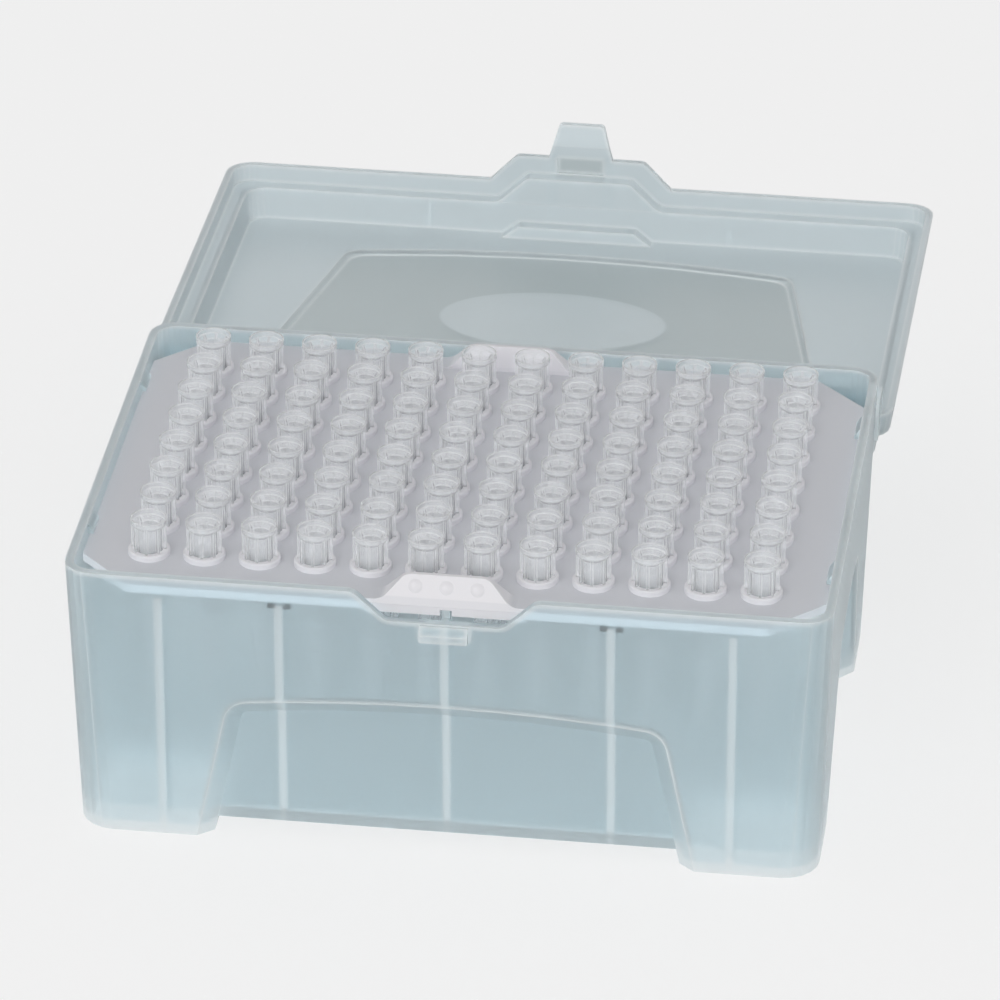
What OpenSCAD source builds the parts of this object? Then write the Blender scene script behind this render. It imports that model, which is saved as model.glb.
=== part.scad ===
// Hinged box holding a rack of 96 pipette tips.
// Three mouldings (box, tip plate, lid) and the tips, which stand in the plate on a 9 mm grid.
// The lid is modelled open. The origin is on the table, in the middle of the open box.

/* [Box] */
// Outer width of the box at its rim
box_w = 123.6; // [122.4:0.2:136]
// Outer depth of the box at its rim
box_d = 86.8; // [86.4:0.2:100]
// Height of the rim above the table
box_h = 48.2; // [46:0.2:60]
// How much each side wall leans in, from rim to foot
draft_x = 1.4; // [0.4:0.1:2.2]
// How much the front and back walls lean in, from rim to foot
draft_y = 1.0; // [0.4:0.1:1.8]
// Wall thickness of the box
box_wall = 1.4; // [1.0:0.1:1.6]
// Radius of the upright corners at the rim
rim_corner_r = 4.5; // [3.5:0.25:7]
// Radius of the upright corners at the feet
foot_corner_r = 6.0; // [4:0.25:8]

/* [Feet and arches] */
// Height of the raised floor above the table
foot_h = 2.7; // [1.6:0.1:4]
// Width of each foot, along the front
foot_w = 19.8; // [14:0.2:22]
// Depth of each foot, along the side
foot_d = 17.6; // [13:0.2:20]
// Height of the arched recess in the front and back walls
arch_h = 27.6; // [20:0.2:31]
// Height of the arched recess in the side walls
side_arch_h = 30.0; // [20:0.2:31]
// Drop of each arch from its middle to its shoulders
arch_drop = 2.0; // [0.5:0.1:4]
// How far the legs of the front and back arches lean in
arch_lean = 5.4; // [2:0.1:7]
// How far the legs of the side arches lean in
side_arch_lean = 9.5; // [2:0.1:11]
// Radius of the arches' shoulders
arch_r = 4.0; // [3.2:0.2:6]
// How deep the arched panels are set back
recess = 2.2; // [1.2:0.1:2.6]
// Width of the bevel round the arched panels
recess_bevel = 2.6; // [1.5:0.1:3]

/* [Ribs] */
// Thickness of the upright ribs inside the front and back walls
rib_t = 1.3; // [0.9:0.1:2]
// How far the ribs reach in from the outside of the wall at the rim
rib_reach = 5.4; // [5.0:0.1:6.2]
// Place of the inner ribs, from the middle
rib_inner_x = 26.7; // [20:0.2:32]
// Place of the outer ribs, from the middle
rib_outer_x = 46.2; // [42:0.2:48]
// Width of the pads on the inner ribs
pad_w = 3.7; // [2.4:0.1:6]
// Thickness of the pads
pad_t = 1.0; // [0.6:0.1:2]

/* [Notch and catch] */
// Width of the notch in the front rim, at the rim
notch_w = 29.4; // [27:0.2:34]
// Width of the notch at its bottom
notch_bottom_w = 19.0; // [15:0.2:22]
// Radius of the notch's bottom corners
notch_r = 2.0; // [1.8:0.1:3]
// Radius of the rim's corners beside the notch
notch_top_r = 2.5; // [1:0.1:4]
// Depth of the notch
notch_depth = 5.0; // [4.2:0.1:5.6]
// Width of the catch on the front wall
catch_w = 7.8; // [6:0.2:8.4]
// Height of the catch
catch_h = 2.5; // [1.8:0.1:2.7]
// How far the catch stands out from the wall
catch_reach = 1.4; // [1.3:0.05:1.6]
// How far the ramp on the catch's upper half runs in
catch_ramp = 1.05; // [0.6:0.05:1.2]
// Distance from the bottom of the notch down to the catch
catch_drop = 0.3; // [0.3:0.1:0.8]

/* [Tip plate] */
// Depth of the plate's top face below the rim
plate_drop = 2.2; // [1.8:0.1:3.2]
// Thickness of the plate
plate_t = 1.4; // [1:0.1:2]
// Gap between the plate's edge and the box walls
plate_gap = 0.25; // [0.15:0.05:0.5]
// Setback of the plate's edge under each tab
tab_back = 0.6; // [0.5:0.1:0.9]
// Length of the plate's cut corners, along each edge
plate_corner = 8.5; // [6:0.25:9.5]
// Gap between the plate and the nubs that hold it down
nub_gap = 0.15; // [0.1:0.05:0.3]
// Length of the nubs
nub_l = 5.0; // [3:0.5:8]
// How far the nubs stand in from the wall
nub_reach = 0.9; // [0.6:0.05:1.1]
// Distance of the nubs from the middle, front to back
nub_y = 24.5; // [20:0.5:32]
// Height of the collar round each hole
collar_h = 1.0; // [0.6:0.1:1.4]
// Outer diameter of the collars
collar_d = 6.8; // [6.4:0.05:7.4]
// How far each collar's top edge is rounded off
collar_edge = 0.2; // [0.1:0.05:0.3]
// Height of each tab's crest above the plate
tab_h = 4.0; // [3:0.1:4.4]
// Distance from the plate's edge in to the tab's crest
tab_l = 2.2; // [1.6:0.1:2.4]
// Distance from the plate's edge in to the tab's back
tab_base = 4.2; // [3.8:0.1:4.8]
// Thickness of the crest
tab_crest_t = 0.7; // [0.5:0.1:1]
// Width of the crest
tab_crest_w = 13.4; // [11:0.2:15]
// Width of the tab at the plate
tab_w = 20.8; // [18:0.2:23]
// Radius of the tab's upper corners
tab_r = 2.5; // [1:0.1:3.5]
// Radius where the tab's sides run out into the plate
tab_flare_r = 3; // [1:0.1:4]
// Wall thickness of the tab
tab_wall = 1.2; // [0.9:0.1:1.3]
// Width of the lip under the tab
lip_w = 26; // [24:0.2:28]
// Depth of the lip below the plate
lip_h = 1.0; // [0.3:0.1:1.2]
// Side gap between the middle rib and its slot in the lip
slot_gap = 0.3; // [0.2:0.05:0.5]
// Diameter of the dots on the tab
dot_d = 2.3; // [1.6:0.1:2.6]
// Height of the dots
dot_h = 0.35; // [0.2:0.05:0.5]
// Spacing of the dots
dot_pitch = 5.0; // [3.5:0.1:5.4]

/* [Tips] */
// Pitch of the tips
pitch = 9.0; // [8.95:0.05:9.1]
// Overall length of a tip
tip_l = 31.5; // [27:0.5:36]
// How far the head stands above the plate
head_h = 6.5; // [5:0.1:7]
// Diameter of the rim
tip_rim_d = 5.9; // [5.8:0.05:6.3]
// Height of the rim, above its flare
tip_rim_h = 0.9; // [0.6:0.1:1.4]
// Diameter over the head's ribs
head_d = 5.7; // [5.4:0.05:5.8]
// Diameter of the head's core
core_d = 4.4; // [4.3:0.05:4.6]
// Gap between the core and the hole in the plate, all round
hole_gap = 0.2; // [0.1:0.05:0.25]
// Number of ribs round the head
head_ribs = 8; // [6:1:10]
// Thickness of a rib on the head
head_rib_t = 0.4; // [0.3:0.05:0.6]
// Wall of the cup inside the rim
cup_wall = 0.3; // [0.25:0.05:0.35]
// Diameter of the land that seals on the pipette
socket_d = 3.6; // [3.5:0.05:3.7]
// How far the core reaches below the plate's top
neck_l = 4.0; // [3:0.25:6]
// Length of the land
socket_l = 1.6; // [1:0.1:2.2]
// Outer diameter of the cone below the head
cone_d = 3.0; // [2.6:0.1:3.2]
// Wall of the cone
cone_wall = 0.5; // [0.4:0.05:0.6]
// Outer diameter of the point
point_d = 1.0; // [0.9:0.05:1.2]
// Bore of the point
point_bore = 0.45; // [0.35:0.05:0.6]

/* [Lid] */
// Wall thickness of the lid
lid_wall = 1.3; // [1:0.1:1.4]
// Gap between the lid's skirt and the box walls
skirt_gap = 0.95; // [0.85:0.05:1.1]
// Depth of the skirt below the shoulder
skirt_h = 3.1; // [2.6:0.1:3.4]
// Flare of the skirt towards its edge
skirt_flare = 0.7; // [0.2:0.1:0.9]
// Gap between the lid's shoulder and the rim
seat_gap = 0.2; // [0.1:0.05:0.4]
// Width of the shoulder
shoulder_w = 2.7; // [2.5:0.1:3]
// Inner height of the lid above its shoulder
lid_h = 5.7; // [5.2:0.1:9]
// How much the lid's walls lean in
lid_draft = 0.5; // [0.2:0.1:1]
// Radius of the skirt's front corners
lid_corner_r = 4.8; // [3:0.2:6]
// Radius of the skirt's back corners
lid_back_r = 5.0; // [1:0.1:5.6]
// Edge chamfer round the top of the lid
lid_chamfer = 0.8; // [0.4:0.1:1.2]
// Height of the arched platform on top
platform_h = 0.8; // [0.4:0.1:1.2]
// Width of the platform at its front corners
platform_w = 79; // [60:1:84]
// Width of the platform at its back
platform_back_w = 104; // [94:1:108]
// Distance from the front wall to the platform
platform_setback = 10.2; // [9:0.2:16]
// Distance from the back wall to the platform
platform_back = 4.0; // [3:0.5:8]
// Radius of the platform's corners
platform_r = 4.0; // [2:0.25:6]
// How much the platform's front edge bows forward
platform_bow = 4.0; // [1:0.2:6]
// Length of the oval pad
oval_l = 40.0; // [30:0.2:46]
// Width of the oval pad
oval_w = 23.6; // [20:0.2:30]
// Height of the oval pad
oval_h = 0.4; // [0.2:0.1:0.8]
// Distance from the middle forward to the pad's centre
oval_forward = 6.0; // [0:0.2:9]
// Width of the finger step at its floor
step_w = 18.4; // [16:0.2:24]
// How much the finger step widens on each side, from floor to top
step_flare = 3.0; // [1:0.1:4]
// Radius of the finger step's corners
step_r = 0.8; // [0.4:0.1:1.2]
// Height of the finger step
step_h = 2.3; // [1.6:0.1:2.8]
// Depth of the finger step
step_d = 2.3; // [1.6:0.1:2.6]
// Thickness of the gussets on the front wall
gusset_t = 1.1; // [0.8:0.1:1.6]
// Place of the gussets, from the middle
gusset_x = 27.3; // [22:0.1:34]

/* [Latch] */
// Depth of the apron below the skirt
apron_h = 5.0; // [4.4:0.1:6]
// Width of the apron where it leaves the skirt
apron_w = 32.8; // [31:0.2:38]
// Width of the apron's lower edge
apron_bottom_w = 23.0; // [20:0.2:26]
// Radius of the apron's lower corners
apron_r = 1.5; // [0.8:0.1:3]
// Length of the latch below the apron
latch_l = 6.2; // [4.4:0.2:8]
// Width of the latch at the apron
latch_w = 11.8; // [11.4:0.2:14]
// Width of the latch at its end
latch_end_w = 8.0; // [6:0.2:10]
// Radius of the latch's corners
latch_r = 0.8; // [0.4:0.1:1.5]
// Height of the latch's bent lip
latch_lip = 3.8; // [2.5:0.1:4]
// How far the lip bends outward
latch_bend = 1.0; // [0.4:0.1:1.4]
// Place of the ribs beside the latch, from the middle
latch_rib_x = 5.0; // [4.8:0.1:5.2]
// How far those ribs stand out from the apron
rib_proud = 0.7; // [0.3:0.1:1]
// Gap round the catch in the latch's pocket
catch_gap = 0.25; // [0.15:0.05:0.35]

/* [Hinge] */
// Height of the hinge axis below the rim
axis_drop = 6.4; // [6.2:0.05:6.8]
// Diameter of the hinge pins
pin_d = 1.6; // [1.4:0.1:1.8]
// Running clearance round the pins
pin_gap = 0.06; // [0.03:0.01:0.1]
// Wall of the lid's hinge eyes
eye_wall = 0.6; // [0.5:0.02:0.7]
// Length of each hinge eye
eye_l = 10; // [6:0.5:14]
// Thickness of the ears that hold the pins
ear_t = 1.8; // [1.4:0.1:2.4]
// How far the outer ears stand out past the side walls
ear_proud = 0.3; // [0:0.1:0.5]
// Radius of the ears round the pin
ear_r = 1.8; // [1.5:0.1:1.9]
// How far the ears' webs stand off the back wall
ear_web = 0.5; // [0.3:0.1:0.6]
// How far the webs reach below the hinge axis
ear_drop = 5.0; // [4:0.2:8]
// Side gap between eye and ear
eye_gap = 0.3; // [0.2:0.05:0.5]
// Gap between the hinge eyes and the back wall
back_gap = 0.33; // [0.3:0.01:0.5]
// Opening of the eyes, as a share of the pin's diameter
eye_mouth = 0.8; // [0.6:0.05:0.9]
// How far the open lid hangs below level
lid_droop = 3.4; // [2:0.1:3.6]

/* [Hidden] */
columns = 12;
rows = 8;
group = 4;
past = 1; // overrun of a cut beyond the face that it opens
bite = 0.4; // depth by which a rib or ear is sunk into its wall
tab_overhang = 0.1; // setback of the tab's face, which overhangs the lip
dot_up = 0.6; // how far the dots sit above the middle of the tab's face
lip_edge = 0.6; // how far the tab's face reaches down past the plate's top
bevel_overrun = 0.6; // how far the arches' bevel runs on outside the wall, as a share of its depth

half_w = box_w / 2;
half_d = box_d / 2;
plate_top = box_h - plate_drop;
plate_under = plate_top - plate_t;
hole_d = core_d + 2 * hole_gap;
plate_half_w = wall_x(plate_under) - box_wall - plate_gap;
plate_half_d = wall_y(plate_under) - box_wall - plate_gap;
tab_edge_y = -plate_half_d + tab_overhang;
tab_edge_z = plate_top - lip_edge;
tab_crest_y = -plate_half_d + tab_l;
rib_end_y = half_d - rib_reach;
notch_z = box_h - notch_depth;
catch_z = notch_z - catch_drop - catch_h / 2;

shoulder_z = box_h + seat_gap;
lid_edge_z = shoulder_z - skirt_h;
panel_z = shoulder_z + lid_h;
lid_top_z = panel_z + lid_wall;
skirt_half_w = half_w + skirt_gap + lid_wall;
skirt_half_d = half_d + skirt_gap + lid_wall;
lid_half_w = skirt_half_w - lid_wall - shoulder_w;
lid_half_d = skirt_half_d - lid_wall - shoulder_w;

eye_r = pin_d / 2 + pin_gap + eye_wall;
axis_z = box_h - axis_drop;
axis_y = wall_y(axis_z) + back_gap + eye_r;
ear_out_x = half_w + ear_proud;
eye_x = ear_out_x - ear_t - eye_gap - eye_l / 2;

// The open box reaches from the catch to the latch's bent lip, and stands midway on the origin.
front_y = -wall_y(catch_z) - catch_reach;
latch_tip = [-skirt_half_d - latch_bend - axis_y, lid_edge_z - apron_h - latch_l - axis_z];
back_y = axis_y + cos(lid_droop) * -latch_tip[0] - sin(lid_droop) * latch_tip[1];
origin_y = (front_y + back_y) / 2;

TIP_NODES = [for (c = [1 : columns], g = [1 : rows / group]) tip_node(c, g)];

function tip_node(c, g) = str("tips_column_", c, g == 1 ? "_front" : "_back");

// Distance of a wall's outer face from the middle, at height z
function wall_x(z) = half_w - draft_x * (1 - z / box_h);
function wall_y(z) = half_d - draft_y * (1 - z / box_h);

function unit(v) = v / norm(v);

// The arc that rounds corner p between its neighbours a and b
function fillet(p, a, b, r, n) =
    let (u = unit(a - p), v = unit(b - p), half = acos(u * v) / 2)
    let (c = p + unit(u + v) * r / sin(half))
    let (from = p + u * r / tan(half) - c, to = p + v * r / tan(half) - c)
    let (start = atan2(from[1], from[0]), turn = atan2(to[1], to[0]) - start)
    let (sweep = turn > 180 ? turn - 360 : turn < -180 ? turn + 360 : turn)
    [for (i = [0 : n]) c + r * [cos(start + sweep * i / n), sin(start + sweep * i / n)]];

// A closed outline through points [x, y, corner radius]
function rounded(points, n = 5) =
    let (last = len(points) - 1, flat = [for (p = points) [p[0], p[1]]])
    [for (i = [0 : last])
        each points[i][2] == 0 ? [flat[i]]
            : fillet(flat[i], flat[i == 0 ? last : i - 1], flat[i == last ? 0 : i + 1], points[i][2], n)];

// A level ring of the box or lid, with its own radius at the front and back corners
function ring(hx, hy, front_r, back_r, z) =
    [for (p = rounded([[-hx, -hy, front_r], [hx, -hy, front_r], [hx, hy, back_r], [-hx, hy, back_r]]))
        [p[0], p[1], z]];

// A solid through rings that match point for point, each ring above the last
module loft(rings) {
    n = len(rings[0]);
    top = len(rings) - 1;
    sides = [for (k = [0 : top - 1], i = [0 : n - 1])
        [k * n + i, (k + 1) * n + i, (k + 1) * n + (i + 1) % n, k * n + (i + 1) % n]];
    floor_face = [for (i = [0 : n - 1]) i];
    top_face = [for (i = [n - 1 : -1 : 0]) top * n + i];
    polyhedron([for (r = rings) each r], concat(sides, [floor_face, top_face]));
}

// A plate with its outline in the front view, from y0 to y1
module front_plate(outline, y0, y1) {
    translate([0, y1, 0])
        rotate([90, 0, 0])
            linear_extrude(y1 - y0) polygon(outline);
}

// A rib with its outline in the side view, centred on x
module side_plate(outline, x, t) {
    translate([x - t / 2, 0, 0])
        rotate([90, 0, 90])
            linear_extrude(t) polygon(outline);
}

// Half-width at height z of an arch whose legs stand foot_in from the middle
function leg(foot_in, z, lean, h) = foot_in - lean * z / (h - arch_drop);

// Arch outline, drawn from below the table, with a bowed top between rounded shoulders
function arch(foot_in, lean, h, grow) =
    let (shoulder = h - arch_drop + grow, shoulder_x = leg(foot_in, shoulder, lean, h) + grow)
    let (bow = [for (i = [3 : -1 : 1]) [shoulder_x * i / 4, shoulder + arch_drop * (1 - pow(i / 4, 2)), 0]])
    rounded(concat(
        [[-leg(foot_in, -past, lean, h) - grow, -past, 0], [leg(foot_in, -past, lean, h) + grow, -past, 0]],
        [[shoulder_x, shoulder, arch_r + grow]],
        bow,
        [[0, shoulder + arch_drop, 0]],
        [for (i = [2 : -1 : 0]) [-bow[i][0], bow[i][1], 0]],
        [[-shoulder_x, shoulder, arch_r + grow]]
    ));

// A point of a front view, set in by deep from the leaning wall's outer face
function on_wall(p, wall, draft, deep) = [p[0], -wall + draft * (1 - p[1] / box_h) + deep, p[1]];

// Bevelled arched pocket in a wall facing -y, moved in by deep and grown sideways by grow.
// The bevel runs on outside the wall, so that no edge of the cut lies in the wall's face.
module arch_pocket(wall, draft, foot_in, lean, h, deep, grow) {
    panel = arch(foot_in, lean, h, grow - recess_bevel);
    outer = arch(foot_in, lean, h, grow + recess_bevel * bevel_overrun);
    loft([
        [for (p = panel) on_wall(p, wall, draft, deep + recess)],
        [for (p = outer) on_wall(p, wall, draft, deep - recess * bevel_overrun)]
    ]);
}

// Channel between two feet, run through the box along y
module channel(foot_in, lean, h, deep) {
    low = leg(foot_in, -past, lean, h) - recess_bevel + deep;
    high = leg(foot_in, foot_h, lean, h) - recess_bevel + deep;
    outline = [[-low, -past], [low, -past], [high, foot_h + deep], [-high, foot_h + deep]];
    front_plate(outline, -half_w - past, half_w + past);
}

// The pockets in all four walls and the cross-shaped hollow between the feet.
// With deep and grow it is the same form seen from inside the wall.
module underside(deep, grow) {
    foot_x = wall_x(0) - foot_w;
    foot_y = wall_y(0) - foot_d;
    for (turn = [0, 180])
        rotate(turn) {
            arch_pocket(half_d, draft_y, foot_x, arch_lean, arch_h, deep, grow);
            rotate(90) arch_pocket(half_w, draft_x, foot_y, side_arch_lean, side_arch_h, deep, grow);
        }
    channel(foot_x, arch_lean, arch_h, deep);
    rotate(90) channel(foot_y, side_arch_lean, side_arch_h, deep);
}

// Half-width of the notch at height z, moved in by inset from its edge
function notch_half(z, inset) =
    let (slope = (notch_w - notch_bottom_w) / 2 / notch_depth)
    notch_bottom_w / 2 + slope * (z - notch_z) - inset * sqrt(1 + slope * slope);

// Outline of the notch, moved in by inset and open up to height top, with rounded corners at the rim
function notch(inset, top) =
    let (low = notch_z + inset, rim = box_h + inset, r = notch_r - inset, rim_r = notch_top_r + inset)
    let (a = notch_half(low, inset), b = notch_half(rim, inset), c = b + rim_r)
    rounded([[-a, low, r], [a, low, r], [b, rim, rim_r], [c, rim, 0], [c, top, 0], [-c, top, 0], [-c, rim, 0],
        [-b, rim, rim_r]]);

// The hollow of the box, which follows the pockets at one wall thickness
module cavity() {
    bend = atan(recess / recess_bevel) / 2;
    difference() {
        loft([for (z = [box_wall, box_h + past])
            let (r = foot_corner_r + (rim_corner_r - foot_corner_r) * z / box_h - box_wall)
            ring(wall_x(z) - box_wall, wall_y(z) - box_wall, r, r, z)]);
        underside(box_wall, box_wall * tan(bend));
    }
}

// An upright rib on the front wall, with its top at height top
module rib(x, low, top) {
    outer_low = -wall_y(low) + box_wall - bite;
    outer_top = -wall_y(top) + box_wall - bite;
    side_plate([[outer_low, low], [-rib_end_y, low], [-rib_end_y, top], [outer_top, top]], x, rib_t);
}

module ribs() {
    foot_floor = box_wall - bite;
    floor = foot_h + box_wall - bite;
    pad_z = plate_under - pad_t;
    rib(0, floor, plate_under);
    for (side = [-1, 1]) {
        rib(side * rib_outer_x, foot_floor, plate_under);
        rib(side * rib_inner_x, floor, plate_under);
        pad_outer = -wall_y(pad_z) + box_wall - bite;
        pad = [[pad_outer, pad_z], [-rib_end_y, pad_z], [-rib_end_y, plate_under], [pad_outer, plate_under]];
        side_plate(pad, side * rib_inner_x, pad_w);
    }
}

// The catch: square below, where the latch hooks, and sloped above to ride under it
module catch_block() {
    low = catch_z - catch_h / 2;
    high = catch_z + catch_h / 2;
    tip_y = -wall_y(catch_z) - catch_reach;
    root_y = -wall_y(catch_z) + bite;
    profile = [[root_y, low], [tip_y, low], [tip_y, catch_z], [tip_y + catch_ramp, high], [root_y, high]];
    side_plate(profile, 0, catch_w);
}

// A wedge on the right side wall that the plate snaps under
module nub() {
    low = plate_top + nub_gap;
    wall = wall_x(low) - box_wall;
    high = low + 2 * nub_reach;
    profile = [[wall + bite, low], [wall + bite, high], [wall, high], [wall - nub_reach, low + nub_reach / 2],
        [wall - nub_reach, low]];
    front_plate(profile, -nub_l / 2, nub_l / 2);
}

// One ear of a hinge, from x0 to x0 + ear_t, with its web down the back wall
module ear(x0) {
    root_y = half_d - rim_corner_r;
    web_y = wall_y(axis_z) + ear_web;
    web_top = axis_z - ear_r - ear_web;
    web_low = axis_z - ear_drop;
    profile = [[root_y, web_low], [web_y - ear_web, web_low], [web_y, web_low + ear_web], [web_y, web_top],
        [axis_y, axis_z - ear_r], [axis_y, axis_z + ear_r], [root_y, axis_z + ear_r]];
    side_plate(profile, x0 + ear_t / 2, ear_t);
    translate([x0, axis_y, axis_z]) rotate([0, 90, 0]) cylinder(r = ear_r, h = ear_t, $fn = 48);
}

// Two ears and the pin between them, on the right
module hinge_pin() {
    inner_x = ear_out_x - 2 * ear_t - 2 * eye_gap - eye_l;
    ear(inner_x);
    ear(ear_out_x - ear_t);
    translate([inner_x + ear_t / 2, axis_y, axis_z])
        rotate([0, 90, 0])
            cylinder(d = pin_d, h = ear_out_x - inner_x - ear_t, $fn = 48);
}

module box() {
    color("azure") {
        difference() {
            union() {
                difference() {
                    loft([ring(wall_x(0), wall_y(0), foot_corner_r, foot_corner_r, 0),
                        ring(half_w, half_d, rim_corner_r, rim_corner_r, box_h)]);
                    cavity();
                }
                for (turn = [0, 180]) rotate(turn) ribs();
            }
            underside(0, 0);
            front_plate(notch(0, box_h + past), -half_d - past, -half_d + box_wall + past);
        }
        catch_block();
        for (side = [0, 1]) mirror([side, 0, 0]) {
            hinge_pin();
            for (y = [-nub_y, nub_y]) translate([0, y, 0]) nub();
        }
    }
}

// Front view of a tab: a rounded crest, and sides that run out into the plate over the lip
function tab_front() =
    let (crest = plate_top + tab_h, a = lip_w / 2, b = tab_w / 2, c = tab_crest_w / 2)
    rounded([[-a, plate_under - lip_h, 0], [a, plate_under - lip_h, 0], [a, plate_top, 0],
        [b, plate_top, tab_flare_r], [c, crest, tab_r], [-c, crest, tab_r], [-b, plate_top, tab_flare_r],
        [-a, plate_top, 0]]);

// Side view of a tab: the lip, the leaning face over it, the crest and the back
function tab_side() =
    let (lip_y = -plate_half_d + tab_back, lip_z = plate_under - lip_h, crest = plate_top + tab_h)
    let (back_y = -plate_half_d + tab_base)
    [[lip_y, lip_z], [lip_y, tab_edge_z], [tab_edge_y, tab_edge_z], [tab_crest_y, crest],
        [tab_crest_y + tab_crest_t, crest], [back_y, plate_top], [back_y, plate_under],
        [lip_y + tab_wall, plate_under], [lip_y + tab_wall, lip_z]];

module tab() {
    slope = atan((plate_top + tab_h - tab_edge_z) / (tab_crest_y - tab_edge_y));
    intersection() {
        front_plate(tab_front(), -half_d, 0);
        side_plate(tab_side(), 0, lip_w + 2 * past);
    }
    for (i = [-1, 0, 1])
        translate([i * dot_pitch, (tab_edge_y + tab_crest_y) / 2, (tab_edge_z + plate_top + tab_h) / 2])
            rotate([slope, 0, 0])
                translate([0, dot_up, 0]) dot();
}

// The hollow of a tab, which runs up to a ridge under the crest, and the middle rib's slot in the lip
module tab_cuts() {
    front = -plate_half_d + tab_back + tab_wall;
    back = -plate_half_d + tab_base - tab_wall;
    low = plate_under - lip_h - past;
    slot_w = rib_t + 2 * slot_gap;
    ridge = [tab_crest_y + tab_crest_t / 2, plate_top + tab_h - 2 * tab_wall];
    side_plate([[front, low], [front, plate_top], ridge, [back, plate_top], [back, low]], 0, tab_crest_w);
    translate([-slot_w / 2, -half_d, low]) cube([slot_w, half_d - rib_end_y + past, lip_h + past]);
}

// A low dome, sunk a little into the slope
module dot() {
    r = (dot_d * dot_d / 4 + dot_h * dot_h) / (2 * dot_h);
    reach = asin(dot_d / 2 / r);
    cap = [for (i = [0 : 4]) [r * sin(reach * (1 - i / 4)), r * cos(reach * (1 - i / 4)) - r + dot_h]];
    rotate_extrude($fn = 32) polygon(concat([[0, -bite], [dot_d / 2, -bite]], cap));
}

// A collar, rooted in the plate, on which the ribs of a tip's head stand
module collar() {
    top = plate_top + collar_h;
    low = plate_top - plate_t / 2;
    rotate_extrude($fn = 48)
        polygon([[0, low], [collar_d / 2, low], [collar_d / 2, top - collar_edge],
            [collar_d / 2 - collar_edge, top], [0, top]]);
}

module tip_plate() {
    w = plate_half_w;
    d = plate_half_d;
    c = plate_corner;
    outline = [[-w + c, -d], [w - c, -d], [w, -d + c], [w, d - c], [w - c, d], [-w + c, d], [-w, d - c],
        [-w, -d + c]];
    color("lavender") difference() {
        union() {
            translate([0, 0, plate_under]) linear_extrude(plate_t) difference() {
                polygon(outline);
                for (turn = [0, 180])
                    rotate(turn)
                        translate([-lip_w / 2, -d - past]) square([lip_w, tab_back + past]);
            }
            at_tips(1, columns, 1, rows)
                collar();
            for (turn = [0, 180]) rotate(turn) tab();
        }
        at_tips(1, columns, 1, rows)
            translate([0, 0, plate_under - past])
                cylinder(d = hole_d, h = plate_t + collar_h + 2 * past, $fn = 48);
        for (turn = [0, 180]) rotate(turn) tab_cuts();
    }
}

// Places children on the grid, for columns c0 to c1 and rows r0 to r1, front row first
module at_tips(c0, c1, r0, r1) {
    for (c = [c0 : c1], r = [r0 : r1])
        translate([(c - (columns + 1) / 2) * pitch, (r - (rows + 1) / 2) * pitch, 0]) children();
}

// One tip, with z = 0 at the top of the plate. The head's ribs stand on the collar.
module tip() {
    end = head_h - tip_l;
    neck = -neck_l;
    shoulder = neck - (core_d - cone_d);
    land = head_h / 2;
    rim = head_h - tip_rim_h;
    flare = rim - (tip_rim_d - core_d) / 2;
    cup = tip_rim_d / 2 - cup_wall;
    outside = [[0, head_h], [tip_rim_d / 2, head_h], [tip_rim_d / 2, rim], [core_d / 2, flare],
        [core_d / 2, neck], [cone_d / 2, shoulder], [point_d / 2, end], [0, end]];
    bore = [[0, head_h + past], [cup, head_h + past], [cup, rim], [core_d / 2 - cup_wall, flare],
        [socket_d / 2, land], [socket_d / 2, land - socket_l], [cone_d / 2 - cone_wall, shoulder],
        [point_bore / 2, end], [point_bore / 2, end - past], [0, end - past]];
    difference() {
        union() {
            rotate_extrude($fn = 48) polygon(outside);
            translate([0, 0, collar_h])
                linear_extrude(head_h - collar_h - tip_rim_h / 2)
                    for (i = [0 : head_ribs - 1])
                        rotate(i * 360 / head_ribs)
                            translate([core_d / 2 - (core_d - socket_d) / 4, -head_rib_t / 2])
                                square([(head_d - core_d) / 2 + (core_d - socket_d) / 4, head_rib_t]);
        }
        rotate_extrude($fn = 48) polygon(bore);
    }
}

// Four tips of one column, in the front half of the plate or in the back half
module tip_group(c, g) {
    color("white")
        at_tips(c, c, (g - 1) * group + 1, g * group)
            translate([0, 0, plate_top]) tip();
}

// Plan of the platform on the lid, widened by grow
function platform(grow) =
    let (a = platform_w / 2 + grow, b = platform_back_w / 2 + grow)
    let (back = lid_half_d - platform_back + grow)
    let (front = -(lid_half_d + lid_wall - platform_setback) - grow, shoulder = front + platform_bow)
    let (bow = [for (i = [3 : -1 : -3]) [-a * i / 4, front + platform_bow * pow(i / 4, 2), 0]])
    rounded(concat([[-a, shoulder, platform_r]], bow, [[a, shoulder, platform_r], [b, back, platform_r],
        [-b, back, platform_r]]));

function at_z(outline, z) = [for (p = outline) [p[0], p[1], z]];

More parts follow.
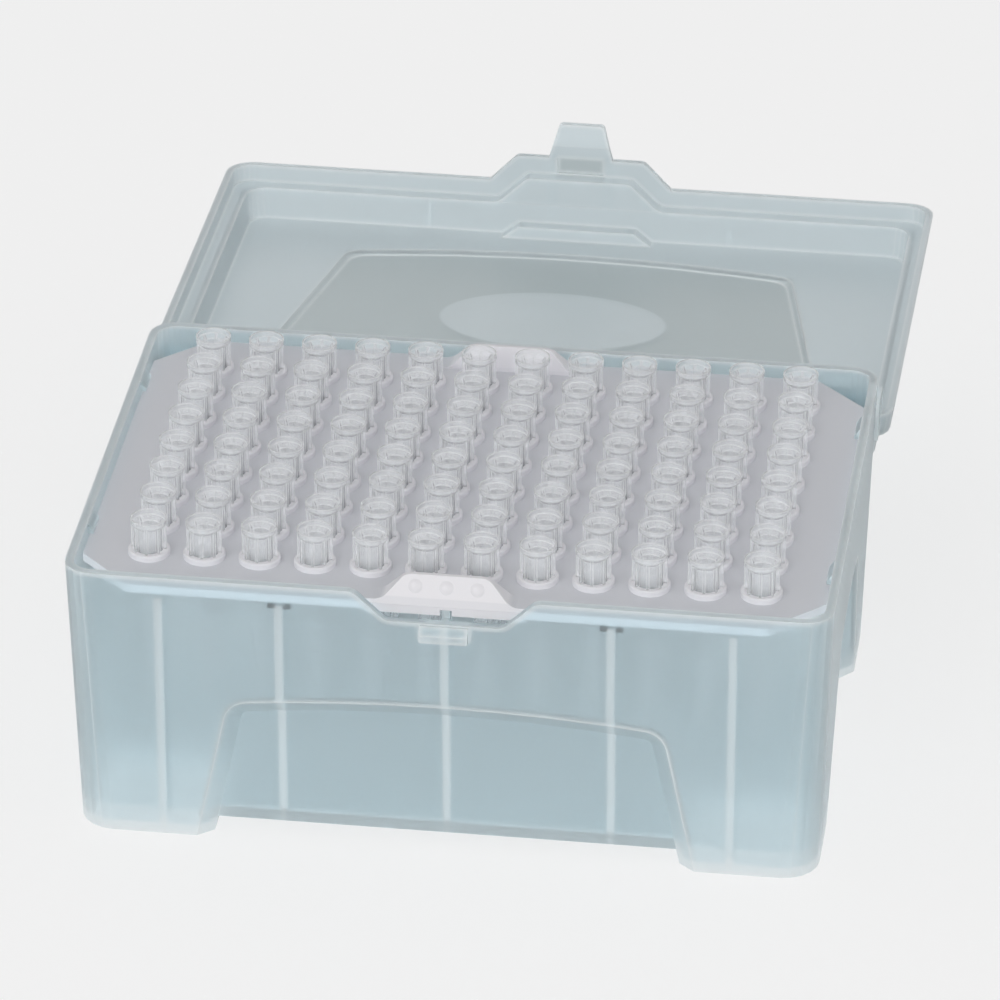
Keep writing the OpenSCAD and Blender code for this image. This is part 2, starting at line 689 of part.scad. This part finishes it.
// Outside of the lid: the skirt, then the leaning walls, the chamfered top and the platform
module lid_outside() {
    ledge = shoulder_z + lid_wall;
    wall_w = lid_half_w + lid_wall;
    wall_d = lid_half_d + lid_wall;
    r = lid_corner_r - lid_wall;
    loft([
        ring(skirt_half_w, skirt_half_d, lid_corner_r, lid_back_r, lid_edge_z),
        ring(skirt_half_w - skirt_flare, skirt_half_d - skirt_flare, lid_corner_r, lid_back_r, ledge)
    ]);
    loft([
        ring(wall_w, wall_d, r, r, shoulder_z),
        ring(wall_w - lid_draft, wall_d - lid_draft, r, r, lid_top_z - lid_chamfer),
        ring(wall_w - lid_draft - lid_chamfer, wall_d - lid_draft - lid_chamfer, r, r, lid_top_z)
    ]);
    loft([at_z(platform(platform_h), lid_top_z - bite), at_z(platform(platform_h), lid_top_z),
        at_z(platform(0), lid_top_z + platform_h)]);
    translate([0, -oval_forward, lid_top_z + platform_h - bite])
        linear_extrude(oval_h + bite)
            polygon([for (a = [0 : 7.5 : 352.5]) [oval_l / 2 * cos(a), oval_w / 2 * sin(a)]]);
}

// Hollow of the lid, wide below the shoulder and narrower above it
module lid_inside() {
    skirt_w = skirt_half_w - lid_wall;
    skirt_d = skirt_half_d - lid_wall;
    r = lid_corner_r - lid_wall;
    loft([ring(skirt_w, skirt_d, r, r, lid_edge_z - past), ring(skirt_w, skirt_d, r, r, shoulder_z)]);
    loft([ring(lid_half_w, lid_half_d, r, r, shoulder_z - past),
        ring(lid_half_w - lid_draft, lid_half_d - lid_draft, r, r, panel_z)]);
    half_step = platform_h / 2;
    loft([at_z(platform(half_step), panel_z - past), at_z(platform(half_step), panel_z),
        at_z(platform(-half_step), panel_z + platform_h)]);
}

// Finger step cut from the top front edge; with deep it is the same form seen from inside
module finger_step(deep) {
    floor = lid_top_z - step_h - deep;
    a = step_w / 2 + deep;
    b = a + step_flare * (lid_top_z + past - floor) / step_h;
    outline = rounded([[-a, floor, step_r], [a, floor, step_r], [b, lid_top_z + past, 0],
        [-b, lid_top_z + past, 0]]);
    back = -lid_half_d - lid_wall + lid_draft + step_d + deep;
    front_plate(outline, -skirt_half_d - past, back);
}

// The apron and the latch below it, in one front view
module apron() {
    apron_low = lid_edge_z - apron_h;
    latch_low = apron_low - latch_l;
    lip_top = latch_low + latch_lip;
    outer = -skirt_half_d;
    inner = outer + lid_wall;
    a = apron_w / 2;
    b = apron_bottom_w / 2;
    apron_outline = rounded([[-b, apron_low, apron_r], [b, apron_low, apron_r], [a, lid_edge_z, 0],
        [a, lid_edge_z + bite, 0], [-a, lid_edge_z + bite, 0], [-a, lid_edge_z, 0]]);
    c = latch_w / 2;
    d = latch_end_w / 2;
    latch_outline = rounded([[-d, latch_low, latch_r], [d, latch_low, latch_r], [c, apron_low + bite, 0],
        [-c, apron_low + bite, 0]]);
    front_plate(apron_outline, outer, inner);
    intersection() {
        front_plate(latch_outline, outer - 2 * latch_bend, 0);
        side_plate([[outer, apron_low + bite], [outer, lip_top], [outer - latch_bend, latch_low],
            [inner - latch_bend, latch_low], [inner, lip_top], [inner, apron_low + bite]], 0, latch_w);
    }
}

// A gusset between the ledge and the front wall
module gusset(x) {
    wall_out = -lid_half_d - lid_wall;
    low = shoulder_z + lid_wall - bite;
    high = lid_top_z - bite;
    outline = [[-skirt_half_d + skirt_flare, low], [wall_out + bite, low],
        [wall_out + lid_draft + lid_chamfer, high], [wall_out, high]];
    side_plate(outline, x, gusset_t);
}

module lid_closed() {
    outer = -skirt_half_d;
    inner = outer + lid_wall;
    wall_out = -lid_half_d - lid_wall;
    ledge = shoulder_z + lid_wall;
    difference() {
        union() {
            difference() {
                union() {
                    difference() {
                        lid_outside();
                        finger_step(0);
                    }
                    for (x = [-gusset_x, gusset_x]) gusset(x);
                }
                difference() {
                    lid_inside();
                    finger_step(lid_wall);
                }
            }
            // The shoulder dips here, to close the notch in the box
            front_plate(notch(seat_gap, shoulder_z + bite), inner - bite, -lid_half_d);
            apron();
            for (side = [0, 1]) mirror([side, 0, 0]) hinge_eye();
        }
        front_plate(notch(seat_gap + lid_wall, ledge + past), outer - past, wall_out);
        // The pocket in which the catch sits when the lid is closed
        translate([-catch_w / 2 - catch_gap, front_y - catch_gap, catch_z - catch_h / 2 - catch_gap])
            cube([catch_w + 2 * catch_gap, 2 * lid_wall, catch_h + 2 * catch_gap]);
        for (side = [0, 1]) mirror([side, 0, 0]) hinge_bore();
    }
    // Ribs that stiffen the apron beside the latch
    for (x = [-latch_rib_x, latch_rib_x])
        side_plate([[outer - rib_proud, lid_edge_z - apron_h], [outer + bite, lid_edge_z - apron_h],
            [outer + bite, notch_z + seat_gap + bite], [wall_out + bite, notch_z + seat_gap + bite],
            [wall_out + bite, ledge + lid_wall], [outer - rib_proud, lid_edge_z]], x, gusset_t);
}

module hinge_eye() {
    translate([eye_x - eye_l / 2, axis_y, axis_z])
        rotate([0, 90, 0])
            cylinder(r = eye_r, h = eye_l, $fn = 48);
    translate([eye_x - eye_l / 2, skirt_half_d - lid_wall, axis_z])
        cube([eye_l, lid_wall, lid_edge_z - axis_z + bite]);
}

// The running bore of an eye and the mouth by which it snaps over the pin
module hinge_bore() {
    long = eye_l + 2 * past;
    mouth = pin_d * eye_mouth;
    translate([eye_x - long / 2, axis_y, axis_z])
        rotate([0, 90, 0])
            cylinder(d = pin_d + 2 * pin_gap, h = long, $fn = 48);
    translate([eye_x - long / 2, axis_y - mouth / 2, axis_z - eye_r - past])
        cube([long, mouth, eye_r + past]);
}

module lid() {
    color("lightcyan")
        translate([0, axis_y, axis_z])
            rotate([-180 - lid_droop, 0, 0])
                translate([0, -axis_y, -axis_z])
                    lid_closed();
}

module stand() {
    translate([0, -origin_y, 0]) children();
}

stand() box();
stand() tip_plate();
stand() lid();
for (c = [1 : columns], g = [1 : rows / group])
    stand() tip_group(c, g);
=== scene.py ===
import math

import bpy
from mathutils import Matrix, Vector

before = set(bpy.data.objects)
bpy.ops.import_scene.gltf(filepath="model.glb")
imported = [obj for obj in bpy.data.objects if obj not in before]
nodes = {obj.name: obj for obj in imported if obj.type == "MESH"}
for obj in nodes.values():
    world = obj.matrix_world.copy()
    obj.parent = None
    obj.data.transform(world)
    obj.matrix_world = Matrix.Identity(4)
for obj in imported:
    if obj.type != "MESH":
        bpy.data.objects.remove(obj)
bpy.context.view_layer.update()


# ---- The box ----
# One injection moulding of natural polypropylene, frosted by its mould's blasted faces.
# Its ribs and arched panels are moulded with it, and its pins snap into the lid's eyes.
# Where the moulding is thick it turns milky; along its sharp edges it turns milky and carries a
# painted highlight.

PLASTIC_IOR = 1.49
THIN_TINT = (0.82, 0.92, 0.955)
THICK_AND_HIGHLIGHT_TINT = (0.92, 0.96, 0.97)
LAMP_SHARE = (0.93, 0.95, 0.96)


def wire(tree, source, socket):
    """Sets a socket to a number, or links it to another node's socket."""
    if isinstance(source, float):
        socket.default_value = source
    else:
        tree.links.new(source, socket)


def sum_up(tree, operation, first, second, clamp=False):
    """Two terms put together by one step of arithmetic."""
    node = tree.nodes.new("ShaderNodeMath")
    node.operation = operation
    node.use_clamp = clamp
    wire(tree, first, node.inputs[0])
    wire(tree, second, node.inputs[1])
    return node.outputs["Value"]


def ramp(tree, value, start, end, low=0.0, high=1.0):
    """A soft step, which runs from low at start to high at end."""
    node = tree.nodes.new("ShaderNodeMapRange")
    node.inputs["From Min"].default_value = start
    node.inputs["From Max"].default_value = end
    node.inputs["To Min"].default_value = low
    node.inputs["To Max"].default_value = high
    tree.links.new(value, node.inputs["Value"])
    return node.outputs["Result"]


def blend_tints(tree, share, first, second):
    """A colour between two tints."""
    node = tree.nodes.new("ShaderNodeMix")
    node.data_type = "RGBA"
    node.inputs["A"].default_value = (*first, 1)
    node.inputs["B"].default_value = (*second, 1)
    tree.links.new(share, node.inputs["Factor"])
    return node


def noise(tree, place, scale, detail, distortion=0.0):
    """A cloud of noise in the moulding's own coordinates."""
    node = tree.nodes.new("ShaderNodeTexNoise")
    node.inputs["Scale"].default_value = scale
    node.inputs["Detail"].default_value = detail
    node.inputs["Distortion"].default_value = distortion
    tree.links.new(place, node.inputs["Vector"])
    return node.outputs["Fac"]


FLOW_SCALE = 28.0
FLOW_DETAIL = 3.0
FLOW_BEND = 0.6
CLOUD_SPREAD = 0.04
SATIN_SPREAD = 0.05
BLAST_SCALE = 2600.0
BLAST_DETAIL = 2.0
BLAST_STRENGTH = 0.4
BLAST_DEPTH = 0.00002


def moulded_plastic(name, thin, thick, clear_thin, clear_thick, roughness):
    """Moulded polypropylene with a blasted satin skin, whiter and less clear where it is thick or
    where painted light is added.
    """
    material = bpy.data.materials.new(name)
    material.use_nodes = True
    tree = material.node_tree
    skin = tree.nodes["Principled BSDF"]
    skin.inputs["IOR"].default_value = PLASTIC_IOR
    place = tree.nodes.new("ShaderNodeTexCoord").outputs["Object"]

    whiteness = tree.nodes.new("ShaderNodeMath")
    whiteness.name = "whiteness"
    whiteness.operation = "MAXIMUM"
    whiteness.inputs[0].default_value = 0.0
    whiteness.inputs[1].default_value = 0.0
    flow = noise(tree, place, FLOW_SCALE, FLOW_DETAIL, FLOW_BEND)
    cloud = ramp(tree, flow, 0.0, 1.0, -CLOUD_SPREAD, CLOUD_SPREAD)
    share = sum_up(tree, "ADD", whiteness.outputs["Value"], cloud, clamp=True)

    shades = blend_tints(tree, share, thin, thick)
    shades.name = "shades"
    tree.links.new(shades.outputs["Result"], skin.inputs["Base Color"])
    if clear_thin == clear_thick:
        skin.inputs["Transmission Weight"].default_value = clear_thin
    else:
        clear = ramp(tree, share, 0.0, 1.0, clear_thin, clear_thick)
        tree.links.new(clear, skin.inputs["Transmission Weight"])
    satin = ramp(tree, flow, 0.0, 1.0, roughness - SATIN_SPREAD, roughness + SATIN_SPREAD)
    tree.links.new(satin, skin.inputs["Roughness"])

    bump = tree.nodes.new("ShaderNodeBump")
    bump.inputs["Strength"].default_value = BLAST_STRENGTH
    bump.inputs["Distance"].default_value = BLAST_DEPTH
    tree.links.new(noise(tree, place, BLAST_SCALE, BLAST_DETAIL), bump.inputs["Height"])
    tree.links.new(bump.outputs["Normal"], skin.inputs["Normal"])
    return material


EDGE_SAMPLES = 4
EDGE_FAINT = 0.999
EDGE_FULL = 0.96


def draw_milky_highlight_edges(material, radius):
    """Draws a milky line with a painted highlight along each sharp edge of a moulding, and returns its
    share.
    """
    tree = material.node_tree
    rounded = tree.nodes.new("ShaderNodeBevel")
    rounded.samples = EDGE_SAMPLES
    rounded.inputs["Radius"].default_value = radius
    flat = tree.nodes.new("ShaderNodeNewGeometry")
    turn = tree.nodes.new("ShaderNodeVectorMath")
    turn.operation = "DOT_PRODUCT"
    tree.links.new(rounded.outputs["Normal"], turn.inputs[0])
    tree.links.new(flat.outputs["Normal"], turn.inputs[1])
    # The edge share whitens the colour: partly the milkiness of a sharp edge, partly a painted
    # highlight.
    milky_highlight_edges = ramp(tree, turn.outputs["Value"], EDGE_FAINT, EDGE_FULL)
    tree.links.new(milky_highlight_edges, tree.nodes["whiteness"].inputs[1])
    return milky_highlight_edges


def let_lamps_in(material, share):
    """Lets the lamps shine through a clear wall, as a real one does, so that what is inside is lit."""
    tree = material.node_tree
    ray = tree.nodes.new("ShaderNodeLightPath")
    through = tree.nodes.new("ShaderNodeBsdfTransparent")
    through.inputs["Color"].default_value = (*share, 1)
    blend = tree.nodes.new("ShaderNodeMixShader")
    tree.links.new(ray.outputs["Is Shadow Ray"], blend.inputs["Fac"])
    tree.links.new(tree.nodes["Principled BSDF"].outputs["BSDF"], blend.inputs[1])
    tree.links.new(through.outputs["BSDF"], blend.inputs[2])
    tree.links.new(blend.outputs["Shader"], tree.nodes["Material Output"].inputs["Surface"])


def place_of(material):
    """Where a point lies on the part: its place from side to side, front to back, and up."""
    tree = material.node_tree
    split = tree.nodes.new("ShaderNodeSeparateXYZ")
    tree.links.new(tree.nodes["Texture Coordinate"].outputs["Object"], split.inputs["Vector"])
    return split.outputs["X"], split.outputs["Y"], split.outputs["Z"]


def dress(node, material):
    """Gives a moulding its plastic."""
    mesh = nodes[node].data
    mesh.materials.clear()
    mesh.materials.append(material)


BOX_CLEAR_THIN = 0.86
BOX_CLEAR_THICK = 0.25
BOX_ROUGHNESS = 0.34
BOX_EDGE = 0.0014
box_plastic = moulded_plastic("frosted_box_plastic", THIN_TINT, THICK_AND_HIGHLIGHT_TINT,
                              BOX_CLEAR_THIN, BOX_CLEAR_THICK, BOX_ROUGHNESS)
milky_highlight_edges = draw_milky_highlight_edges(box_plastic, BOX_EDGE)
tree = box_plastic.node_tree
across, along, up = place_of(box_plastic)

# The ribs behind the front and back walls show through them as milky stripes.
BOX_MIDDLE = -0.046198
RIB_PLACES = (0.0, 0.0267, 0.0462)
RIB_HALF = 0.00065
RIB_BLUR = 0.00025
RIB_MILK = 0.5
NEAR_WALL = 0.0368
NEAR_WALL_FULL = 0.0372
RIB_TOP = 0.0448
RIB_TOP_FULL = 0.0444
FLOOR_TOP = 0.0052
FLOOR_TOP_FULL = 0.0044
FLOOR_MILK = 0.3
side = sum_up(tree, "ABSOLUTE", across, 0.0)
front = sum_up(tree, "ABSOLUTE", sum_up(tree, "SUBTRACT", along, BOX_MIDDLE), 0.0)
ribs = None
for place in RIB_PLACES:
    off = sum_up(tree, "ABSOLUTE", sum_up(tree, "SUBTRACT", side, place), 0.0)
    stripe = ramp(tree, off, RIB_HALF + RIB_BLUR, RIB_HALF - RIB_BLUR)
    ribs = stripe if ribs is None else sum_up(tree, "MAXIMUM", ribs, stripe)
near_wall = ramp(tree, front, NEAR_WALL, NEAR_WALL_FULL)
below_plate = ramp(tree, up, RIB_TOP, RIB_TOP_FULL)
ribs = sum_up(tree, "MULTIPLY", sum_up(tree, "MULTIPLY", ribs, near_wall), below_plate)
base = ramp(tree, up, FLOOR_TOP, FLOOR_TOP_FULL)
rib_milk = sum_up(tree, "MULTIPLY", ribs, RIB_MILK)
floor_milk = sum_up(tree, "MULTIPLY", base, FLOOR_MILK)
milk = sum_up(tree, "MAXIMUM", rib_milk, floor_milk)
tree.links.new(milk, tree.nodes["whiteness"].inputs[0])

# Milky edges, with their painted highlight, are kept to the outer faces, which lean in by the draft,
# and to the rim.
RIM_HEIGHT = 0.0482
FRONT_DRAFT = 0.0207
SIDE_TO_FRONT_DRAFT = 1.4
FRONT_EDGE = 0.0426
FRONT_EDGE_FULL = 0.0428
SIDE_EDGE = 0.0610
SIDE_EDGE_FULL = 0.0612
RIM_EDGE = 0.0476
RIM_EDGE_FULL = 0.0478
drafted = sum_up(tree, "MULTIPLY", sum_up(tree, "SUBTRACT", RIM_HEIGHT, up), FRONT_DRAFT)
outer_front = ramp(tree, sum_up(tree, "ADD", front, drafted), FRONT_EDGE, FRONT_EDGE_FULL)
drafted_side = sum_up(tree, "MULTIPLY", drafted, SIDE_TO_FRONT_DRAFT)
outer_side = ramp(tree, sum_up(tree, "ADD", side, drafted_side), SIDE_EDGE, SIDE_EDGE_FULL)
rim = ramp(tree, up, RIM_EDGE, RIM_EDGE_FULL)
outside = sum_up(tree, "MAXIMUM", sum_up(tree, "MAXIMUM", outer_front, outer_side), rim)
tree.links.new(sum_up(tree, "MULTIPLY", milky_highlight_edges, outside), tree.nodes["whiteness"].inputs[1])
let_lamps_in(box_plastic, LAMP_SHARE)
dress("box", box_plastic)


# ---- The tip plate ----
# A thin white moulding with a faint lilac tint, which snaps under the nubs of the box.
# Each of its 96 holes has a collar, and a raised tab with three dots stands at the front.
# The thin flat web is greyer than the collars, the tabs and the edges, partly as thinner plastic and
# partly as painted shade between the tips; upright faces are painted lighter, as painted light from
# the low front lamps.

# The web's grey tint is partly thinner plastic and partly painted shade between the tips.
WEB_TINT_WITH_PAINTED_SHADE = (0.70, 0.71, 0.75)
COLLAR_AND_LIT_FACE_TINT = (0.87, 0.86, 0.89)
PLATE_CLEAR = 0.0
PLATE_ROUGHNESS = 0.4
COLLARS_FROM = 0.0462
COLLARS_FULL = 0.0467
LEVEL_FACE = 0.7
UPRIGHT_FACE = 0.2
plate_plastic = moulded_plastic("white_plate_plastic", WEB_TINT_WITH_PAINTED_SHADE, COLLAR_AND_LIT_FACE_TINT,
                                PLATE_CLEAR, PLATE_CLEAR, PLATE_ROUGHNESS)
tree = plate_plastic.node_tree
up = place_of(plate_plastic)[2]
collars = ramp(tree, up, COLLARS_FROM, COLLARS_FULL)
tree.links.new(collars, tree.nodes["whiteness"].inputs[0])
# Painted light: faces that stand upright, facing the low lamps, get the lighter tint.
facing = tree.nodes.new("ShaderNodeSeparateXYZ")
tree.links.new(tree.nodes["Texture Coordinate"].outputs["Normal"], facing.inputs["Vector"])
painted_upright_light = ramp(tree, facing.outputs["Z"], LEVEL_FACE, UPRIGHT_FACE)
tree.links.new(painted_upright_light, tree.nodes["whiteness"].inputs[1])
dress("tip_plate", plate_plastic)


# ---- The tips ----
# 96 clear polypropylene tips, moulded with a polished skin, stand loose in the collars.
# Their index is set below the plastic's own, so that the thin walls draw no dark lines.

TIP_TINT = (0.95, 0.96, 0.97)
TIP_EDGE_HIGHLIGHT_TINT = (0.97, 0.97, 0.98)
TIP_CLEAR = 0.76
TIP_EDGE_CLEAR = 0.35
TIP_ROUGHNESS = 0.18
TIP_EDGE = 0.0002
TIP_IOR = 1.25
TIP_LAMP_SHARE = (0.86, 0.86, 0.87)
tip_plastic = moulded_plastic("clear_tip_plastic", TIP_TINT, TIP_EDGE_HIGHLIGHT_TINT,
                              TIP_CLEAR, TIP_EDGE_CLEAR, TIP_ROUGHNESS)
tip_plastic.node_tree.nodes["Principled BSDF"].inputs["IOR"].default_value = TIP_IOR
# The tips' sharp rims get a milky line that is partly a painted highlight.
draw_milky_highlight_edges(tip_plastic, TIP_EDGE)
let_lamps_in(tip_plastic, TIP_LAMP_SHARE)
for name in nodes:
    if name.startswith("tips_"):
        dress(name, tip_plastic)


# ---- The lid ----
# A second frosted polypropylene moulding, whose eyes clip over the box's pins. It lies open.
# Its platform and the latch's pocket are painted darker, as painted shade: the platform for the
# shadowed table seen through it, the pocket for the shade in its recess.
# The thick oval pad on the platform is milky.

LID_TINT = (0.70, 0.78, 0.81)
PAINTED_SHADE_TINT = (0.58, 0.65, 0.665)
LID_CLEAR_THIN = 0.84
LID_CLEAR_THICK = 0.25
LID_ROUGHNESS = 0.30
LID_EDGE = 0.0011
lid_plastic = moulded_plastic("frosted_lid_plastic", LID_TINT, THICK_AND_HIGHLIGHT_TINT,
                              LID_CLEAR_THIN, LID_CLEAR_THICK, LID_ROUGHNESS)
draw_milky_highlight_edges(lid_plastic, LID_EDGE)
tree = lid_plastic.node_tree
across, along, up = place_of(lid_plastic)
side = sum_up(tree, "ABSOLUTE", across, 0.0)

OVAL_MIDDLE = 0.04897
OVAL_HALF_L = 0.0200
OVAL_HALF_W = 0.0118
OVAL_OUTSIDE = 1.03
OVAL_INSIDE = 0.97
OVAL_MILK = 0.22
oval_x = sum_up(tree, "DIVIDE", side, OVAL_HALF_L)
oval_y = sum_up(tree, "DIVIDE", sum_up(tree, "SUBTRACT", along, OVAL_MIDDLE), OVAL_HALF_W)
ring = sum_up(tree, "ADD", sum_up(tree, "MULTIPLY", oval_x, oval_x),
              sum_up(tree, "MULTIPLY", oval_y, oval_y))
oval = ramp(tree, ring, OVAL_OUTSIDE, OVAL_INSIDE)
tree.links.new(sum_up(tree, "MULTIPLY", oval, OVAL_MILK), tree.nodes["whiteness"].inputs[0])

PLATFORM_BACK = 0.0054
PLATFORM_FRONT = 0.0759
PLATFORM_BACK_HALF = 0.0520
PLATFORM_FRONT_HALF = 0.0395
PLATFORM_BOW = 2.4
PLATFORM_BLUR = 0.0004
lean = (PLATFORM_BACK_HALF - PLATFORM_FRONT_HALF) / (PLATFORM_FRONT - PLATFORM_BACK)
run = sum_up(tree, "MULTIPLY", sum_up(tree, "SUBTRACT", along, PLATFORM_BACK), lean)
wide = ramp(tree, sum_up(tree, "ADD", side, run),
            PLATFORM_BACK_HALF + PLATFORM_BLUR, PLATFORM_BACK_HALF - PLATFORM_BLUR)
bow = sum_up(tree, "MULTIPLY", sum_up(tree, "MULTIPLY", side, side), PLATFORM_BOW)
far = ramp(tree, sum_up(tree, "ADD", along, bow),
           PLATFORM_FRONT + PLATFORM_BLUR, PLATFORM_FRONT - PLATFORM_BLUR)
close = ramp(tree, along, PLATFORM_BACK - PLATFORM_BLUR, PLATFORM_BACK + PLATFORM_BLUR)
platform = sum_up(tree, "MULTIPLY", sum_up(tree, "MULTIPLY", wide, far), close)

POCKET_HEIGHT = 0.03665
POCKET_HALF_W = 0.0044
POCKET_HALF_H = 0.0016
POCKET_BACK = 0.0864
POCKET_BLUR = 0.0002
POCKET_END_BLUR = 0.0003
behind = ramp(tree, along, POCKET_BACK - POCKET_BLUR, POCKET_BACK + POCKET_BLUR)
between = ramp(tree, side, POCKET_HALF_W + POCKET_BLUR, POCKET_HALF_W - POCKET_BLUR)
off = sum_up(tree, "ABSOLUTE", sum_up(tree, "SUBTRACT", up, POCKET_HEIGHT), 0.0)
level = ramp(tree, off, POCKET_HALF_H + POCKET_END_BLUR, POCKET_HALF_H - POCKET_END_BLUR)
pocket = sum_up(tree, "MULTIPLY", sum_up(tree, "MULTIPLY", behind, between), level)
# Painted shade on the platform outside the oval, and in the latch's pocket.
shaded_platform = sum_up(tree, "MULTIPLY", platform, sum_up(tree, "SUBTRACT", 1.0, oval))
painted_shade = sum_up(tree, "MAXIMUM", shaded_platform, pocket)
shade_blend = blend_tints(tree, painted_shade, LID_TINT, PAINTED_SHADE_TINT)
tree.links.new(shade_blend.outputs["Result"], tree.nodes["shades"].inputs["A"])
let_lamps_in(lid_plastic, LAMP_SHARE)
dress("lid", lid_plastic)


# ---- The table and the backdrop ----
# A plain white sheet, lit evenly, which keeps the box's soft shadow.
# It glows a little for the camera, and less through the plastic, so that the paper stays pale.

TABLE_SIZE = 6.0
PAPER_WHITE = (0.95, 0.95, 0.95)
PAPER_ROUGHNESS = 0.9
PAPER_GLOW = 0.7
GLOW_THROUGH = 0.75
half = TABLE_SIZE / 2
sheet_mesh = bpy.data.meshes.new("table_sheet")
corners = [(-half, -half, 0), (half, -half, 0), (half, half, 0), (-half, half, 0)]
sheet_mesh.from_pydata(corners, [], [(0, 1, 2, 3)])
table_sheet = bpy.data.objects.new("table_sheet", sheet_mesh)
bpy.context.scene.collection.objects.link(table_sheet)
paper = bpy.data.materials.new("white_paper")
paper.use_nodes = True
tree = paper.node_tree
sheen = tree.nodes["Principled BSDF"]
sheen.inputs["Base Color"].default_value = (*PAPER_WHITE, 1)
sheen.inputs["Roughness"].default_value = PAPER_ROUGHNESS
sheen.inputs["Specular IOR Level"].default_value = 0.0
ray = tree.nodes.new("ShaderNodeLightPath").outputs
seen_through = sum_up(tree, "MAXIMUM", ray["Is Transmission Ray"], ray["Is Glossy Ray"])
dimmed = sum_up(tree, "MULTIPLY", seen_through, GLOW_THROUGH)
seen_sheet = sum_up(tree, "MAXIMUM", ray["Is Camera Ray"], dimmed)
glow = tree.nodes.new("ShaderNodeEmission")
blend = tree.nodes.new("ShaderNodeMixShader")
tree.links.new(sum_up(tree, "MULTIPLY", seen_sheet, PAPER_GLOW), blend.inputs["Fac"])
tree.links.new(sheen.outputs["BSDF"], blend.inputs[1])
tree.links.new(glow.outputs["Emission"], blend.inputs[2])
tree.links.new(blend.outputs["Shader"], tree.nodes["Material Output"].inputs["Surface"])
sheet_mesh.materials.append(paper)


# ---- The light ----
# A white room, which the camera sees at full white, also by reflection and through clear plastic.
# Two large soft lamps stand low in front, so that upright faces are brighter than flat ones.

ROOM_LEVEL = 0.46
world = bpy.data.worlds.new("studio")
bpy.context.scene.world = world
world.use_nodes = True
tree = world.node_tree
sky = tree.nodes["Background"]
sky.inputs["Color"].default_value = (1, 1, 1, 1)
ray = tree.nodes.new("ShaderNodeLightPath").outputs
seen_clear = sum_up(tree, "MAXIMUM", ray["Is Transmission Ray"], ray["Is Glossy Ray"])
seen = sum_up(tree, "MAXIMUM", ray["Is Camera Ray"], seen_clear)
tree.links.new(ramp(tree, seen, 0.0, 1.0, ROOM_LEVEL, 1.0), sky.inputs["Strength"])

LAMP_SIZE = 1.3
LAMP_AIM = (0, 0, 0.03)


def soft_lamp(name, place, watts):
    """A large square lamp, aimed at the box."""
    light = bpy.data.lights.new(name, "AREA")
    light.shape = "SQUARE"
    light.size = LAMP_SIZE
    light.energy = watts
    lamp = bpy.data.objects.new(name, light)
    lamp.location = place
    lamp.rotation_euler = (Vector(LAMP_AIM) - Vector(place)).to_track_quat("-Z", "Y").to_euler()
    bpy.context.scene.collection.objects.link(lamp)


KEY_PLACE = (-0.8, -1.9, 1.0)
KEY_WATTS = 14.0
FILL_PLACE = (1.3, -1.7, 0.8)
FILL_WATTS = 6.0
soft_lamp("key_lamp", KEY_PLACE, KEY_WATTS)
soft_lamp("fill_lamp", FILL_PLACE, FILL_WATTS)


# ---- The camera ----
# It stands about 1.3 metres off, to the right of the middle, and looks down at 29 degrees.
# A long lens keeps the box's upright edges nearly parallel.

CAMERA_PLACE = (0.14164, -1.10184, 0.63563)
CAMERA_AIM = (-0.113545, 0.866113, -0.486781)
CAMERA_ROLL = -0.244
FILM_WIDTH = 36
LENS_LENGTH = 267.53
FARTHEST_SEEN = 20
camera_data = bpy.data.cameras.new("camera")
camera_data.sensor_width = FILM_WIDTH
camera_data.lens = LENS_LENGTH
camera_data.clip_end = FARTHEST_SEEN
camera = bpy.data.objects.new("camera", camera_data)
forward = Vector(CAMERA_AIM).normalized()
right = forward.cross(Vector((0, 0, 1))).normalized()
right = (Matrix.Rotation(math.radians(CAMERA_ROLL), 3, forward) @ right).normalized()
turned = Matrix((right, right.cross(forward), -forward)).transposed().to_4x4()
camera.matrix_world = Matrix.Translation(CAMERA_PLACE) @ turned
bpy.context.scene.collection.objects.link(camera)
bpy.context.scene.camera = camera
bpy.context.scene.view_settings.view_transform = "Standard"
